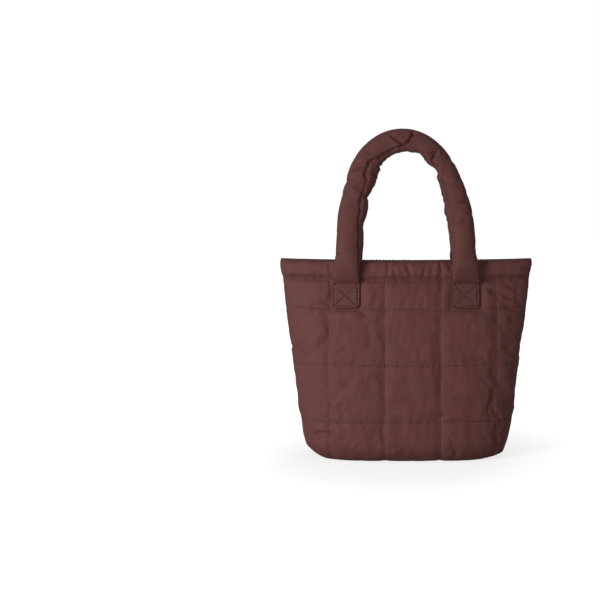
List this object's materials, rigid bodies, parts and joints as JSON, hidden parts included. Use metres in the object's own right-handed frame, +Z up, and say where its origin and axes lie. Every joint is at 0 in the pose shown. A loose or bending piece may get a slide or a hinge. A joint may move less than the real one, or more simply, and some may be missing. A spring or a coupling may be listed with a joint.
{
  "type": "puffer tote bag",
  "caption": "Quilted puffer tote bag with an open flared top, a rounded base and tube handles that stand up, each sewn on by flat square tabs.",
  "frame": {"origin": "on the floor under the middle of the bag", "axes": "+Z up through the open top, -Y out of the front panel, +X to the right seen from the front"},
  "size_m": [0.352, 0.1392, 0.4529],
  "materials": {
    "panel_cloth": "soft matt puffer nylon with a faint sheen, red-brown",
    "handle_cloth": "the same soft matt puffer nylon round a stuffed cord"
  },
  "bodies": {
    "root": {"front_panel": "panel_cloth", "front_handle": "handle_cloth", "back_panel": "panel_cloth", "back_handle": "handle_cloth"}
  },
  "joints": []
}
